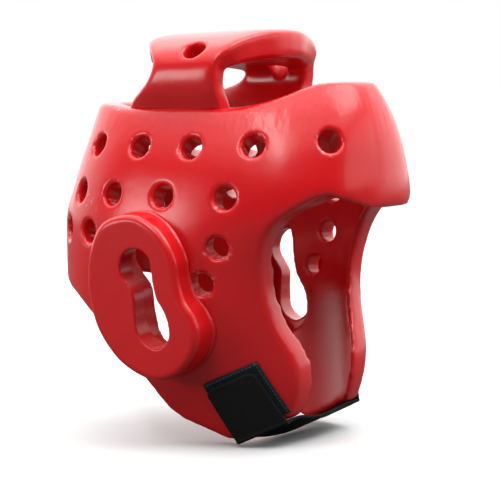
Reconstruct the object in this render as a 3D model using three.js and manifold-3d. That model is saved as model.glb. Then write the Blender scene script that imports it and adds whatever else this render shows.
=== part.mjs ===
// Taekwondo headgear of dipped foam: a head shell with cheek flaps, a crown pad, two ear pads
// and a chin strap. Millimetres, +Z up, the face looks along -Y. The origin is the underside
// of the crown pad, where the head sits.
import * as THREE from "three";
import { mergeVertices } from "three/addons/utils/BufferGeometryUtils.js";
import Module from "manifold-3d";

const wasm = await Module();
wasm.setup();

// Head shell: how far it reaches from the vertical axis, and its walls
const browReach = 127; // out to the front of the forehead pad
const napeReach = 125; // out to the back of the head
const sideReach = 91; // half the width over the bare shell
const widestBack = 10; // the widest line lies this far behind the axis
const sideWall = 16;
const browWall = 29; // the forehead pad is the thick part

// Head shell: how far its edges lie below the origin
const browTop = 14;
const bandTop = 32; // the flat that carries the crown pad
const napeTop = 29;
const browBottom = 99;
const napeBottom = 158;
const flapBottom = 258;
const earMiddle = 0.62 * flapBottom;

// Vents
const ventDiameter = 15.5;
const ventSides = 10;

// Crown pad
const crownThickness = 21.5;
const crownHalfWidth = 69; // at the bulge of its legs
const crownFront = 46; // its reach from the axis at the middle
const crownBack = 55;
const crownFall = 0.035; // its slope down to the back
const crownEdge = 5; // rounding of its long edges
const crownVentOut = 60;
const crownVentAhead = 4; // of the origin

// Ear pads
const earHeight = 113;
const earDepth = 89; // front to back
const earProud = 15; // stands off the widest part of the shell
const earForward = 11; // its middle lies this far behind the axis
const earTilt = 4.3; // degrees that its face looks down
const earEdge = 4.5; // rounding of the rim
const slotHeight = 68;
const slotDepth = 37.5;
const windowEase = 8; // the shell's ear window is this much larger all round

// Chin strap
const strapWidth = 37;
const strapThickness = 2.2;
const strapSag = 3;
const tabLength = 38; // lies up the outside of each flap
const patchThickness = 1.6;
const patchMargin = 4.5; // shows past the tab at the top and the front
const patchGap = 4; // foam left bare between the patch and the flap's edge

const clearance = 0.3; // between pieces that touch
const bedding = 0.5; // room under a flat band for the curve of the foam

const red = new THREE.MeshStandardMaterial({ color: 0xcf1f26, roughness: 0.28, metalness: 0 });
const webbing = new THREE.MeshStandardMaterial({ color: 0x141517, roughness: 0.95, metalness: 0 });
const hook = new THREE.MeshStandardMaterial({ color: 0x22262c, roughness: 0.7, metalness: 0 });

// Levels of the shell: down as a share of flapBottom, the reaches as shares of the three reaches.
// The corner is the exponent of the plan ahead of the widest line, 2 is an ellipse and more is squarer
const shellRows = [
  { down: 0.0, front: 0.76, back: 0.75, side: 0.38, corner: 2.5 },
  { down: 0.046, front: 0.82, back: 0.79, side: 0.5, corner: 2.5 },
  { down: 0.108, front: 0.893, back: 0.83, side: 0.655, corner: 2.5 },
  { down: 0.2, front: 0.96, back: 0.87, side: 0.81, corner: 2.5 },
  { down: 0.277, front: 0.985, back: 0.915, side: 0.9, corner: 2.5 },
  { down: 0.346, front: 1.0, back: 0.955, side: 0.95, corner: 2.5 },
  { down: 0.415, front: 0.99, back: 1.0, side: 0.985, corner: 2.4 },
  { down: 0.481, front: 0.93, back: 1.0, side: 1.0, corner: 2.2 },
  { down: 0.558, front: 0.86, back: 1.0, side: 0.995, corner: 2.05 },
  { down: 0.635, front: 0.825, back: 1.0, side: 0.975, corner: 2.0 },
  { down: 0.719, front: 0.822, back: 0.97, side: 0.935, corner: 2.0 },
  { down: 0.827, front: 0.828, back: 0.93, side: 0.86, corner: 2.0 },
  { down: 0.923, front: 0.822, back: 0.87, side: 0.78, corner: 2.0 },
  { down: 1.04, front: 0.8, back: 0.8, side: 0.68, corner: 2.0 },
];
const cornerBack = 2.4;
const loftTop = 0.015; // shares of flapBottom between which the shell is lofted
const loftBottom = 1.03;

// Edge of the face opening and of the flap, seen from the side: back of the axis as a share of browReach,
// down as a share of flapBottom
const openingRows = [
  { back: -0.965, down: 0.384 },
  { back: -0.91, down: 0.366 },
  { back: -0.84, down: 0.35 },
  { back: -0.775, down: 0.356 },
  { back: -0.7, down: 0.381 },
  { back: -0.64, down: 0.402 },
  { back: -0.585, down: 0.43 },
  { back: -0.545, down: 0.467 },
  { back: -0.52, down: 0.51 },
  { back: -0.508, down: 0.567 },
  { back: -0.515, down: 0.615 },
  { back: -0.54, down: 0.672 },
  { back: -0.588, down: 0.731 },
  { back: -0.618, down: 0.77 },
  { back: -0.634, down: 0.82 },
  { back: -0.624, down: 0.865 },
  { back: -0.604, down: 0.902 },
  { back: -0.578, down: 0.935 },
];
const flapRows = [
  { back: -0.3, down: 1.0 },
  { back: -0.235, down: 1.002 },
  { back: -0.165, down: 0.986 },
  { back: -0.1, down: 0.974 },
  { back: 0.005, down: 0.954 },
  { back: 0.09, down: 0.927 },
  { back: 0.155, down: 0.888 },
  { back: 0.22, down: 0.848 },
  { back: 0.38, down: 0.768 },
  { back: 0.54, down: 0.692 },
  { back: 0.7, down: 0.637 },
];

// Vents on one side: how far down, and degrees round from the front
const ventRows = [
  { down: 53, at: [34] },
  { down: 56, at: [64.6] },
  { down: 58, at: [84, 98.5, 125, 154, 180] },
  { down: 91, at: [72, 89, 106.5, 129, 156, 180] },
  { down: 118, at: [117.5, 137.5, 158, 180] },
  { down: 125, at: [69.5] },
  { down: 150, at: [72] },
];

// Crown pad from the middle over to a root: out is a share of crownHalfWidth, rise is 1 at the top of the
// pad and 0 at the band, front and back are shares of crownFront and crownBack, thick of crownThickness
const crownRows = [
  { out: 0.0, rise: 1.0, front: 1.0, back: 1.0, thick: 1.0 },
  { out: 0.27, rise: 0.989, front: 0.97, back: 0.985, thick: 1.0 },
  { out: 0.515, rise: 0.941, front: 0.87, back: 0.91, thick: 0.96 },
  { out: 0.727, rise: 0.863, front: 0.79, back: 0.74, thick: 0.88 },
  { out: 0.886, rise: 0.744, front: 0.7, back: 0.585, thick: 0.8 },
  { out: 0.977, rise: 0.574, front: 0.58, back: 0.49, thick: 0.75 },
  { out: 1.0, rise: 0.37, front: 0.55, back: 0.55, thick: 0.73 },
  { out: 0.975, rise: 0.185, front: 0.54, back: 0.72, thick: 0.72 },
  { out: 0.9, rise: 0.0, front: 0.55, back: 0.95, thick: 0.72 },
  { out: 0.865, rise: -0.15, front: 0.56, back: 1.0, thick: 0.72 },
];

// Rim of an ear pad and its slot, as shares of their depth and height, back of and above their middles
const earRows = [
  { back: 0.026, up: 0.5 },
  { back: 0.217, up: 0.487 },
  { back: 0.366, up: 0.423 },
  { back: 0.463, up: 0.272 },
  { back: 0.5, up: 0.094 },
  { back: 0.482, up: -0.06 },
  { back: 0.418, up: -0.219 },
  { back: 0.265, up: -0.376 },
  { back: 0.082, up: -0.465 },
  { back: -0.114, up: -0.5 },
  { back: -0.309, up: -0.447 },
  { back: -0.447, up: -0.332 },
  { back: -0.5, up: -0.195 },
  { back: -0.46, up: -0.08 },
  { back: -0.375, up: 0.02 },
  { back: -0.341, up: 0.125 },
  { back: -0.326, up: 0.235 },
  { back: -0.263, up: 0.34 },
  { back: -0.145, up: 0.441 },
];
const slotRows = [
  { back: 0.195, up: 0.5 },
  { back: 0.38, up: 0.465 },
  { back: 0.5, up: 0.351 },
  { back: 0.476, up: 0.217 },
  { back: 0.26, up: 0.04 },
  { back: 0.233, up: -0.15 },
  { back: 0.195, up: -0.344 },
  { back: 0.02, up: -0.462 },
  { back: -0.246, up: -0.5 },
  { back: -0.487, up: -0.373 },
  { back: -0.455, up: -0.167 },
  { back: -0.257, up: 0.025 },
  { back: -0.19, up: 0.202 },
  { back: -0.144, up: 0.394 },
  { back: -0.005, up: 0.482 },
];
const slotForward = 0.04; // the slot lies this share of the pad's depth ahead of its middle

const radians = THREE.MathUtils.degToRad;
const power = (value, exponent) => Math.sign(value) * Math.abs(value) ** exponent;

// Reads one column of a table smoothly, at a value of its key column
function along(rows, key, value, column) {
  const last = rows.length - 1;
  const at = THREE.MathUtils.clamp(value, rows[0][key], rows[last][key]);
  let i = 0;
  while (i < last - 1 && rows[i + 1][key] < at) i += 1;
  const slope = (a, b) => (rows[b][column] - rows[a][column]) / (rows[b][key] - rows[a][key]);
  const tangent = (k) => {
    if (k === 0) return slope(0, 1);
    if (k === last) return slope(last - 1, last);
    const before = rows[k][key] - rows[k - 1][key];
    const after = rows[k + 1][key] - rows[k][key];
    return (slope(k - 1, k) * after + slope(k, k + 1) * before) / (before + after);
  };
  const span = rows[i + 1][key] - rows[i][key];
  const t = (at - rows[i][key]) / span;
  const start = rows[i][column] * (1 + 2 * t) * (1 - t) ** 2 + span * tangent(i) * t * (1 - t) ** 2;
  return start + rows[i + 1][column] * t * t * (3 - 2 * t) + span * tangent(i + 1) * t * t * (t - 1);
}

// How far the shell reaches at a level in one column, less a wall square to its slope
function reachAt(down, column, full, wall) {
  const reach = (at) => full * along(shellRows, "down", at / flapBottom, column);
  return reach(down) - wall * Math.min(1.6, Math.hypot(1, reach(down + 0.5) - reach(down - 0.5)));
}

// Plan of the shell at a level, ahead of its widest line or behind it, less the walls given
function shellPlan(down, front, walls) {
  return {
    side: reachAt(down, "side", sideReach, walls.side),
    reach: front
      ? reachAt(down, "front", browReach, walls.front) + widestBack
      : reachAt(down, "back", napeReach, walls.back) - widestBack,
    corner: front ? along(shellRows, "down", down / flapBottom, "corner") : cornerBack,
  };
}

const even = (wall) => ({ side: wall, front: wall, back: wall });

// The wall is thick at the forehead and runs out round the sides and below the brow
function wallsAt(down) {
  const low = 1 - THREE.MathUtils.smoothstep(down, browBottom, browBottom + browWall);
  return { ...even(sideWall), front: sideWall + (browWall - sideWall) * low };
}

// A point of the shell's surface, degrees round from the front
function shellPoint(down, degrees, walls = even(0)) {
  const [sine, cosine] = [Math.sin(radians(degrees)), Math.cos(radians(degrees))];
  const plan = shellPlan(down, cosine > 0, walls);
  const x = plan.side * power(sine, 2 / plan.corner);
  const y = widestBack - plan.reach * power(cosine, 2 / plan.corner);
  return new THREE.Vector3(x, y, -down);
}

function shellNormal(down, degrees) {
  const step = 1;
  const round = shellPoint(down, degrees + step).sub(shellPoint(down, degrees - step));
  const upward = shellPoint(down - step, degrees).sub(shellPoint(down + step, degrees));
  return round.cross(upward).normalize();
}

// How far out the shell's surface lies at a point of its side view
function shellOut(y, z) {
  const plan = shellPlan(-z, y < widestBack, even(0));
  const share = Math.min(1, Math.abs(y - widestBack) / plan.reach);
  return plan.side * (1 - share ** plan.corner) ** (1 / plan.corner);
}

// Triangles over a flat ring of points
function flatCap(ring) {
  const contour = ring.map((p) => new THREE.Vector2(p.u, p.v));
  return THREE.ShapeUtils.triangulateShape(contour, []);
}

// Triangles over a thin bent ring: its points run out along one face and home along the other
function thinCap(ring) {
  const last = ring.length - 1;
  const triangles = [];
  for (let k = 0; k < last - 1 - k; k += 1) {
    triangles.push([k, k + 1, last - k - 1], [k, last - k - 1, last - k]);
  }
  return triangles;
}

// Closed skin over rings of points, from the first ring to the last
function skinOver(rings, cap) {
  const around = rings[0].length;
  const index = [];
  for (let r = 0; r < rings.length - 1; r += 1) {
    for (let k = 0; k < around; k += 1) {
      const [a, b] = [r * around + k, r * around + ((k + 1) % around)];
      index.push(a, b, b + around, a, b + around, a + around);
    }
  }
  const end = (rings.length - 1) * around;
  for (const [a, b, c] of cap(rings[0])) index.push(a, c, b);
  for (const [a, b, c] of cap(rings.at(-1))) index.push(end + a, end + b, end + c);
  const geometry = new THREE.BufferGeometry();
  const points = rings.flat().flatMap((p) => p.at.toArray());
  geometry.setAttribute("position", new THREE.Float32BufferAttribute(points, 3));
  geometry.setIndex(index);
  return geometry;
}

function solidOf(geometry) {
  const bare = geometry.clone();
  bare.deleteAttribute("normal");
  bare.deleteAttribute("uv");
  const merged = mergeVertices(bare, 1e-3);
  const mesh = new wasm.Mesh({
    numProp: 3,
    vertProperties: merged.attributes.position.array,
    triVerts: new Uint32Array(merged.index.array),
  });
  return new wasm.Manifold(mesh);
}

function geometryOf(solid) {
  const mesh = solid.getMesh();
  const geometry = new THREE.BufferGeometry();
  geometry.setAttribute("position", new THREE.BufferAttribute(new Float32Array(mesh.vertProperties), 3));
  geometry.setIndex(new THREE.BufferAttribute(new Uint32Array(mesh.triVerts), 1));
  return geometry;
}

// The shell's form as a full body, less the walls given at each level
function shellBody(wallsOf) {
  const levels = 20;
  const steps = 44;
  const rings = [];
  for (let level = levels; level >= 0; level -= 1) {
    const down = flapBottom * (loftTop + ((loftBottom - loftTop) * level) / levels);
    const ring = [];
    for (let step = 0; step < steps; step += 1) {
      const at = shellPoint(down, (360 * step) / steps, wallsOf(down));
      ring.push({ at, u: at.x, v: at.y });
    }
    rings.push(ring);
  }
  return solidOf(skinOver(rings, flatCap));
}

// Side view of the shell: x of the shape is Y of the headgear, its y is Z
function sideView() {
  const past = 30;
  const shape = new THREE.Shape();
  const edge = (rows) => rows.map((r) => new THREE.Vector2(r.back * browReach, -r.down * flapBottom));
  const opening = new THREE.SplineCurve(edge(openingRows)).getPoints(28);
  const flap = new THREE.SplineCurve(edge(flapRows)).getPoints(20);
  const root = crownRows.at(-2);
  const rootBack = root.back * crownBack;
  const rootFront = -root.front * crownFront;
  const riseStart = [-0.38 * browReach, -bandTop];
  const riseMiddle = [-0.6 * browReach, -0.58 * bandTop];
  const riseEnd = [-0.84 * browReach, -browTop];
  shape.moveTo(napeReach + past, -napeTop);
  shape.lineTo(0.74 * napeReach, -napeTop);
  shape.quadraticCurveTo(rootBack + 2 * crownEdge, -bandTop, rootBack + clearance, -bandTop);
  shape.lineTo(rootFront - clearance, -bandTop);
  shape.bezierCurveTo(...riseStart, -0.5 * browReach, -0.8 * bandTop, ...riseMiddle);
  shape.bezierCurveTo(-0.67 * browReach, -0.43 * bandTop, -0.74 * browReach, -browTop, ...riseEnd);
  shape.lineTo(-browReach - past, -browTop);
  shape.lineTo(-browReach - past, -browBottom);
  for (const p of [...opening, ...flap]) shape.lineTo(p.x, p.y);
  shape.lineTo(0.85 * napeReach, -napeBottom);
  shape.lineTo(napeReach + past, -napeBottom);
  shape.closePath();
  return shape;
}

function outline(rows, depth, height, count) {
  const points = rows.map((r) => new THREE.Vector3(r.back * depth, r.up * height, 0));
  const curve = new THREE.CatmullRomCurve3(points, true);
  return curve.getSpacedPoints(count).slice(1).reverse().map((p) => new THREE.Vector2(p.x, p.y));
}

// Places a drawing across Y and Z, its third axis out to the left side
const outToSide = new THREE.Matrix4().makeBasis(
  new THREE.Vector3(0, 1, 0),
  new THREE.Vector3(0, 0, 1),
  new THREE.Vector3(1, 0, 0),
);

function earPlace() {
  const faceOut = shellOut(widestBack, -earMiddle) + earProud;
  const place = new THREE.Matrix4().makeTranslation(faceOut, earForward, -earMiddle);
  place.multiply(new THREE.Matrix4().makeRotationY(radians(earTilt)));
  return place.multiply(outToSide);
}

function earSlot(ease) {
  const points = outline(slotRows, slotDepth + 2 * ease, slotHeight + 2 * ease, 30);
  return points.map((p) => p.add(new THREE.Vector2(-slotForward * earDepth, 0)));
}

// Window through the shell behind an ear pad
function earWindow() {
  const depth = 3 * sideWall + earProud;
  const shape = new THREE.Shape(earSlot(windowEase));
  const drill = new THREE.ExtrudeGeometry(shape, { depth, bevelEnabled: false });
  drill.translate(0, 0, -depth);
  return solidOf(drill.applyMatrix4(earPlace()));
}

// An outline moved inward by a distance, square to its run
function inset(points, distance) {
  const count = points.length;
  return points.map((p, i) => {
    const run = points[(i + 1) % count].clone().sub(points[(i + count - 1) % count]).normalize();
    return new THREE.Vector2(p.x - run.y * distance, p.y + run.x * distance);
  });
}

// An ear pad has a rounded rim and is hollowed behind to the shell it is glued on
function earPad(shellGrown) {
  const rim = outline(earRows, earDepth, earHeight, 40);
  const place = earPlace();
  const back = -earProud - sideWall;
  const rings = [[0, back]];
  for (const turn of [0, 30, 60, 90]) {
    const inward = earEdge * (1 - Math.cos(radians(turn)));
    rings.push([inward, earEdge * (Math.sin(radians(turn)) - 1)]);
  }
  const placed = (p, off) => {
    const at = new THREE.Vector3(p.x, p.y, off).applyMatrix4(place);
    return { at, u: p.x, v: p.y };
  };
  const skin = rings.map(([inward, off]) => inset(rim, inward).map((p) => placed(p, off)));
  const opening = new THREE.Shape(earSlot(0));
  const slot = new THREE.ExtrudeGeometry(opening, { depth: -3 * back, bevelEnabled: false });
  slot.translate(0, 0, 2 * back);
  return solidOf(skinOver(skin, flatCap)).subtract(solidOf(slot.applyMatrix4(place))).subtract(shellGrown);
}

// A cylinder that drills a vent square through the wall it starts on
function drillAt(point, normal, depth) {
  const drill = new THREE.CylinderGeometry(ventDiameter / 2, ventDiameter / 2, 2 * depth, ventSides);
  drill.applyQuaternion(new THREE.Quaternion().setFromUnitVectors(new THREE.Vector3(0, 1, 0), normal));
  return solidOf(drill.translate(point.x, point.y, point.z));
}

function shellVents() {
  const drills = [];
  for (const row of ventRows) {
    for (const degrees of row.at) {
      const drill = drillAt(shellPoint(row.down, degrees), shellNormal(row.down, degrees), 1.6 * browWall);
      drills.push(drill);
      if (degrees < 180) drills.push(drill.mirror([1, 0, 0]));
    }
  }
  return drills;
}

function headShell() {
  const width = 4 * sideReach;
  const cut = new THREE.ExtrudeGeometry(sideView(), { depth: width, bevelEnabled: false, curveSegments: 8 });
  cut.translate(0, 0, -width / 2);
  const walls = shellBody(() => even(0)).subtract(shellBody(wallsAt));
  let shell = walls.intersect(solidOf(cut.applyMatrix4(outToSide)));
  const window = earWindow();
  for (const cutter of [...shellVents(), window, window.mirror([1, 0, 0])]) shell = shell.subtract(cutter);
  return shell;
}

// Section of the crown pad, a share of the way from the middle to the root on one side
function crownSection(share) {
  const rows = crownRows.map((row, i) => ({ ...row, way: i / (crownRows.length - 1) }));
  const read = (column, at = share) => along(rows, "way", at, column);
  const rise = (at) => read("rise", at) * (crownThickness + bandTop) - bandTop;
  const step = 0.01;
  const outStep = (read("out", share + step) - read("out", share - step)) * crownHalfWidth;
  const tangent = new THREE.Vector2(outStep, share < step ? 0 : rise(share + step) - rise(share - step));
  tangent.normalize();
  return {
    out: read("out") * crownHalfWidth,
    up: rise(share),
    front: read("front") * crownFront,
    back: read("back") * crownBack,
    thick: read("thick") * crownThickness,
    inward: new THREE.Vector2(tangent.y, -tangent.x),
    follow: THREE.MathUtils.smoothstep(share, 0.5, 0.9), // near its root the leg takes the curve of the band
  };
}

// A point of the crown pad's section: back of the axis, and below its outer surface
function crownPoint(section, side, y, deep) {
  const bend = (shellOut(y, -bandTop) - shellOut(widestBack, -bandTop)) * section.follow;
  const x = section.out + bend + section.inward.x * deep;
  const fall = crownFall * y * (1 - section.follow);
  return new THREE.Vector3(side * x, y, section.up + section.inward.y * deep - fall);
}

function crownRing(section, side) {
  const ring = [];
  const point = (y, deep) => ring.push({ at: crownPoint(section, side, y, deep) });
  const rounding = [0, 0.35, 1].map((share) => [share * crownEdge, 0.6 * crownEdge * (1 - share) ** 2]);
  const unrounding = [...rounding].reverse();
  const { front, back, thick } = section;
  for (const [inside, deep] of rounding) point(back - inside, deep);
  for (const share of [0.4, -0.4]) point(share * (share > 0 ? back : front), 0);
  for (const [inside, deep] of unrounding) point(inside - front, deep);
  for (const [inside, deep] of rounding) point(inside - front, thick - deep);
  for (const share of [-0.4, 0.4]) point(share * (share > 0 ? back : front), thick);
  for (const [inside, deep] of unrounding) point(back - inside, thick - deep);
  return ring;
}

function crownPad() {
  const steps = 16;
  const rings = [];
  for (let step = -steps; step <= steps; step += 1) {
    rings.push(crownRing(crownSection(Math.abs(step) / steps), step < 0 ? -1 : 1));
  }
  const size = 4 * crownHalfWidth;
  const above = new THREE.BoxGeometry(size, size, size);
  above.translate(0, 0, size / 2 - bandTop + clearance);
  let share = 0;
  while (crownSection(share).out < crownVentOut) share += 0.005;
  const section = crownSection(share);
  const outward = new THREE.Vector3(-section.inward.x, 0, -section.inward.y);
  const vent = drillAt(crownPoint(section, 1, -crownVentAhead, 0), outward, 1.5 * crownThickness);
  const pad = solidOf(skinOver(rings, thinCap)).intersect(solidOf(above));
  return pad.subtract(vent).subtract(vent.mirror([1, 0, 0]));
}

// The strap crosses the straight edge at the foot of the flap: across is along that edge, towards the face,
// and run is away from the flap, negative up over its outside
const edgeFront = openingRows.at(-1);
const edgeBack = flapRows[0];
const edgeMiddle = new THREE.Vector2(
  (edgeFront.back + edgeBack.back) * browReach,
  -(edgeFront.down + edgeBack.down) * flapBottom,
).divideScalar(2);
const edgeAcross = new THREE.Vector2(
  (edgeFront.back - edgeBack.back) * browReach,
  -(edgeFront.down - edgeBack.down) * flapBottom,
).normalize();
const edgeRun = new THREE.Vector2(-edgeAcross.y, edgeAcross.x);

function flapPoint(across, run) {
  return edgeMiddle.clone().addScaledVector(edgeAcross, across).addScaledVector(edgeRun, run);
}

// A mark on the flap's outside, with the direction that leads off the foam
function flapMark(across, run) {
  const out = (at) => shellOut(flapPoint(across, at).x, flapPoint(across, at).y);
  const lead = new THREE.Vector2(1, (out(run - 1) - out(run + 1)) / 2).normalize();
  return { out: out(run), run, lead };
}

const away = new THREE.Vector2(0, 1);

// Marks from the top of a tab down the flap, round its edge and in under the chin
function strapMarks(across) {
  const tabSteps = 8;
  const marks = [];
  for (let i = 0; i <= tabSteps; i += 1) marks.push(flapMark(across, -tabLength * (1 - i / tabSteps)));
  const edge = marks.at(-1);
  marks.push({ ...edge, lead: edge.lead.clone().add(away).normalize() });
  for (const share of [0.85, 0.65, 0.45, 0.22, 0]) {
    const sag = share > 0.65 ? 0 : strapSag * (1 - (share / 0.65) ** 2);
    marks.push({ out: edge.out * share, run: sag, lead: away });
  }
  return marks;
}

// A flat band of a thickness, off the foam by a distance, through lines of marks across its width
function band(lines, sideAt, offAt, thickness) {
  const point = (line, i, off) => {
    const mark = line.marks[i];
    const p = flapPoint(line.across, mark.run + mark.lead.y * off);
    return { at: new THREE.Vector3(sideAt(i) * (mark.out + mark.lead.x * off), p.x, p.y) };
  };
  const rings = lines[0].marks.map((mark, i) => [
    ...lines.map((line) => point(line, i, offAt(i, mark))),
    ...[...lines].reverse().map((line) => point(line, i, offAt(i, mark) + thickness)),
  ]);
  return solidOf(skinOver(rings, thinCap));
}

const bandColumns = 7;

function chinStrap() {
  const lines = [];
  for (let c = 0; c < bandColumns; c += 1) {
    const across = strapWidth * (c / (bandColumns - 1) - 0.5);
    const half = strapMarks(across);
    lines.push({ across, marks: [...half, ...half.slice(0, -1).reverse()] });
  }
  const middle = (lines[0].marks.length - 1) / 2;
  const offAt = (i, mark) => {
    if (mark.lead === away) return clearance;
    return i < middle ? bedding + patchThickness + clearance : bedding;
  };
  return band(lines, (i) => (i <= middle ? -1 : 1), offAt, strapThickness);
}

function hookPatch() {
  const steps = 8;
  const lines = [];
  for (let c = 0; c < bandColumns; c += 1) {
    const across = -strapWidth / 2 + ((strapWidth + patchMargin) * c) / (bandColumns - 1);
    const marks = [];
    for (let i = 0; i <= steps; i += 1) {
      marks.push(flapMark(across, -patchGap - ((tabLength + patchMargin - patchGap) * (steps - i)) / steps));
    }
    lines.push({ across, marks });
  }
  return band(lines, () => -1, () => bedding, patchThickness);
}

const group = new THREE.Group();
group.name = "taekwondo_headgear";

function add(name, solid, material) {
  const mesh = new THREE.Mesh(geometryOf(solid), material);
  mesh.name = name;
  group.add(mesh);
}

const leftPad = earPad(shellBody(() => even(-clearance)));
add("head_shell", headShell(), red);
add("crown_pad", crownPad(), red);
add("ear_pad_right", leftPad.mirror([1, 0, 0]), red);
add("ear_pad_left", leftPad, red);
add("chin_strap", chinStrap(), webbing);
add("hook_patch", hookPatch(), hook);

export default group;
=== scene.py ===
import math

import bpy
import numpy as np
from mathutils import Matrix, Vector


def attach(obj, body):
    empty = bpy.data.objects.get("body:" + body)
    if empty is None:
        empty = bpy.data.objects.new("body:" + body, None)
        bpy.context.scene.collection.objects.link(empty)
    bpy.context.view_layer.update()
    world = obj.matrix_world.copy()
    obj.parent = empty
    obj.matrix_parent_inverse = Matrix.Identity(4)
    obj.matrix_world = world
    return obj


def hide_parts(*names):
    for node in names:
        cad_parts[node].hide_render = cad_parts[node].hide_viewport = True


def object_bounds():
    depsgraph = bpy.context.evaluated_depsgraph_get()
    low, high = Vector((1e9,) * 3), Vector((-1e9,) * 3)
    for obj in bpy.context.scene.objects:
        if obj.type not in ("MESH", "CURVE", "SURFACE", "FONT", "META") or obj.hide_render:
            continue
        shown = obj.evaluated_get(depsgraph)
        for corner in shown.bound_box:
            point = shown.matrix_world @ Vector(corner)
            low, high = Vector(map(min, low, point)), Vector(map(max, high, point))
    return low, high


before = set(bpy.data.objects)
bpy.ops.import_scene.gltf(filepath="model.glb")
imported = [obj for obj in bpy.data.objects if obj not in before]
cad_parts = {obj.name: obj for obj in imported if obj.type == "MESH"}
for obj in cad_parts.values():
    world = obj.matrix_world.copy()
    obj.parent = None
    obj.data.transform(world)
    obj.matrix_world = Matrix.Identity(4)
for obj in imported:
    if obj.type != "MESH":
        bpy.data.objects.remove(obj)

cadBox = [[float(v) for v in corner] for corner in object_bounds()]
print("frame loaded")


# camera and stage

cameraSet = {
    "place": (-1.1775, -0.7475, -0.0120),
    "aim": (0.0053, -0.0084, -0.1340),
    "focalPixels": 1960, "pictureWidth": 500,
    "sensor": 36, "clipStart": 0.05,
}


def deselectAll():
    for thing in bpy.context.selected_objects:
        thing.select_set(False)


def selectOnly(piece):
    deselectAll()
    piece.select_set(True)
    bpy.context.view_layer.objects.active = piece


def addCamera():
    bpy.ops.object.camera_add(location=cameraSet["place"])
    camera = bpy.context.object
    look = Vector(cameraSet["aim"]) - Vector(cameraSet["place"])
    camera.rotation_euler = look.to_track_quat("-Z", "Y").to_euler()
    camera.data.sensor_width = cameraSet["sensor"]
    camera.data.lens = cameraSet["focalPixels"] / cameraSet["pictureWidth"] * cameraSet["sensor"]
    camera.data.clip_start = cameraSet["clipStart"]
    bpy.context.scene.camera = camera


stageSet = {
    "floorSize": 60.0,
    "floorGap": 0.0005,  # under the lowest point of the strap
    "floorTint": (0.64, 0.64, 0.64, 1),
    "floorBounce": (0.08, 0.08, 0.08, 1),  # what it throws back on the object
    "floorRoughness": 0.9,
    # light of the room: all round, from the ceiling, from the wall behind, and as the camera sees it
    "around": 0.06, "ceiling": 1.6, "wall": 1.8, "seen": 1.0,
    "wallSide": (0.845, 0.528, -0.087),
    "ceilingEdge": (0.45, 0.75), "wallEdge": (-0.1, 0.6),  # where each fades in, as shares of straight at it
    "lightsAim": (0, 0, -0.06),
    # name, place, the way its height runs, width, height, power
    "lights": [
        ("topBox", (-0.10, 0.05, 1.1), (0, 1, 0), 1.1, 1.1, 4),
        ("ceilingBox", (0.21, -0.74, 1.2), (0, 1, 0), 0.9, 0.9, 12),
        ("browBox", (0.39, -1.47, 0.44), (0, 0, 1), 1.5, 0.7, 5.4),
        ("ridgeBox", (-1.12, -0.02, 1.08), (0.51, 0.69, 0.52), 0.10, 0.95, 6.0),
        ("legBox", (-1.28, 0.96, 0.13), (0, 0, 1), 0.6, 0.42, 6.2),
    ],
}


def rampNode(nodes, links, value, low, high, top):
    ramp = nodes.new("ShaderNodeMapRange")
    ramp.interpolation_type = "SMOOTHSTEP"
    ramp.inputs["From Min"].default_value = low
    ramp.inputs["From Max"].default_value = high
    ramp.inputs["To Max"].default_value = top
    links.new(value, ramp.inputs["Value"])
    return ramp.outputs["Result"]


def mixColor(nodes, links, factor, first, second):
    mix = nodes.new("ShaderNodeMix")
    mix.data_type = "RGBA"
    links.new(factor, mix.inputs[0])
    for socket, value in ((6, first), (7, second)):  # the colour sockets A and B
        if isinstance(value, tuple):
            mix.inputs[socket].default_value = value
        else:
            links.new(value, mix.inputs[socket])
    return mix.outputs[2]


def mathNode(nodes, links, operation, first, second):
    node = nodes.new("ShaderNodeMath")
    node.operation = operation
    for socket, value in zip(node.inputs, (first, second)):
        if isinstance(value, (int, float)):
            socket.default_value = value
        else:
            links.new(value, socket)
    return node.outputs["Value"]


def paleRoom():
    world = bpy.data.worlds.new("paleRoom")
    world.use_nodes = True
    nodes, links = world.node_tree.nodes, world.node_tree.links
    coords = nodes.new("ShaderNodeTexCoord")
    split = nodes.new("ShaderNodeSeparateXYZ")
    links.new(coords.outputs["Generated"], split.inputs["Vector"])
    wall = nodes.new("ShaderNodeVectorMath")
    wall.operation = "DOT_PRODUCT"
    wall.inputs[1].default_value = stageSet["wallSide"]
    links.new(coords.outputs["Generated"], wall.inputs[0])
    ceiling = rampNode(nodes, links, split.outputs["Z"], *stageSet["ceilingEdge"], stageSet["ceiling"])
    behind = rampNode(nodes, links, wall.outputs["Value"], *stageSet["wallEdge"], stageSet["wall"])
    lit = mathNode(nodes, links, "ADD", mathNode(nodes, links, "ADD", ceiling, behind), stageSet["around"])
    sight = nodes.new("ShaderNodeLightPath")
    blend = nodes.new("ShaderNodeMix")
    links.new(sight.outputs["Is Camera Ray"], blend.inputs["Factor"])
    links.new(lit, blend.inputs["A"])
    blend.inputs["B"].default_value = stageSet["seen"]
    links.new(blend.outputs["Result"], nodes["Background"].inputs["Strength"])
    nodes["Background"].inputs["Color"].default_value = (1, 1, 1, 1)
    return world


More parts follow.
